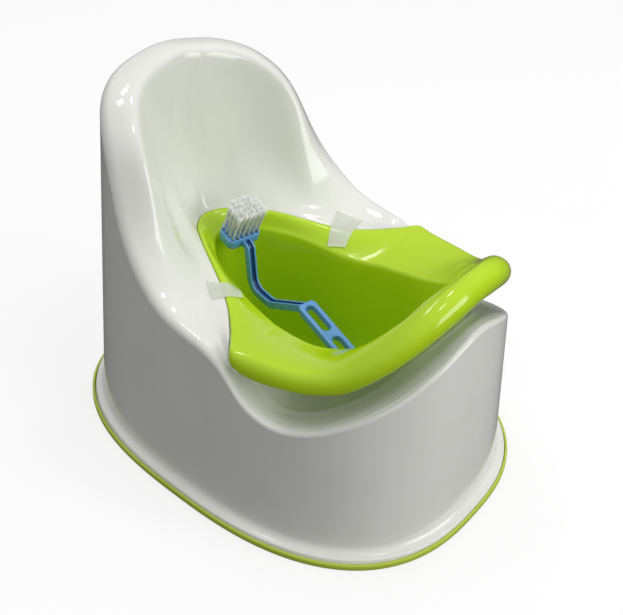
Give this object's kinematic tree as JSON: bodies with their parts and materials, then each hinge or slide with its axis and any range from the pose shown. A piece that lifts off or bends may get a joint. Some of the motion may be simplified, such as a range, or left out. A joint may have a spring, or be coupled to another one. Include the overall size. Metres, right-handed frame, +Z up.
{
  "type": "potty training chair",
  "caption": "One-piece white child's potty chair with a raised back, soft green foot ring, lift-out green pot with a splash guard, and a small blue cleaning brush lying in the bowl.",
  "frame": {"origin": "centre of the footprint on the floor", "axes": "+Z up, the seated child faces -Y, +X is the child's left side"},
  "size_m": [0.286, 0.38, 0.294],
  "materials": {
    "white_shell": "glossy moulded polypropylene, warm white",
    "green_grip": "soft satin moulded grip strip, lime green",
    "green_pot": "glossy moulded polypropylene, lime green",
    "blue_plastic": "semi-gloss moulded plastic, mid blue",
    "bristle": "translucent white nylon bristles",
    "anchor_metal": "plain metal staples, hidden in the head",
    "clear_tape": "translucent film tape, slightly milky"
  },
  "bodies": {
    "chair": {"shell": "white_shell", "grip_ring": "green_grip"},
    "pot": {"pot": "green_pot", "tape_near": "clear_tape", "tape_far": "clear_tape"},
    "brush": {"brush_head": "blue_plastic", "brush_neck": "blue_plastic", "brush_grip": "blue_plastic", "tuft_row_1": "bristle", "tuft_row_2": "bristle", "tuft_row_3": "bristle", "tuft_row_4": "bristle", "tuft_row_5": "bristle", "tuft_anchors": "anchor_metal"}
  },
  "joints": [
    {"name": "pot_lift", "type": "slide", "parent": "chair", "child": "pot", "axis": [0, 0, 1], "range_m": [0, 0.24]},
    {"name": "brush_lift", "type": "slide", "parent": "pot", "child": "brush", "axis": [0, 0, 1], "range_m": [0, 0.2]}
  ]
}
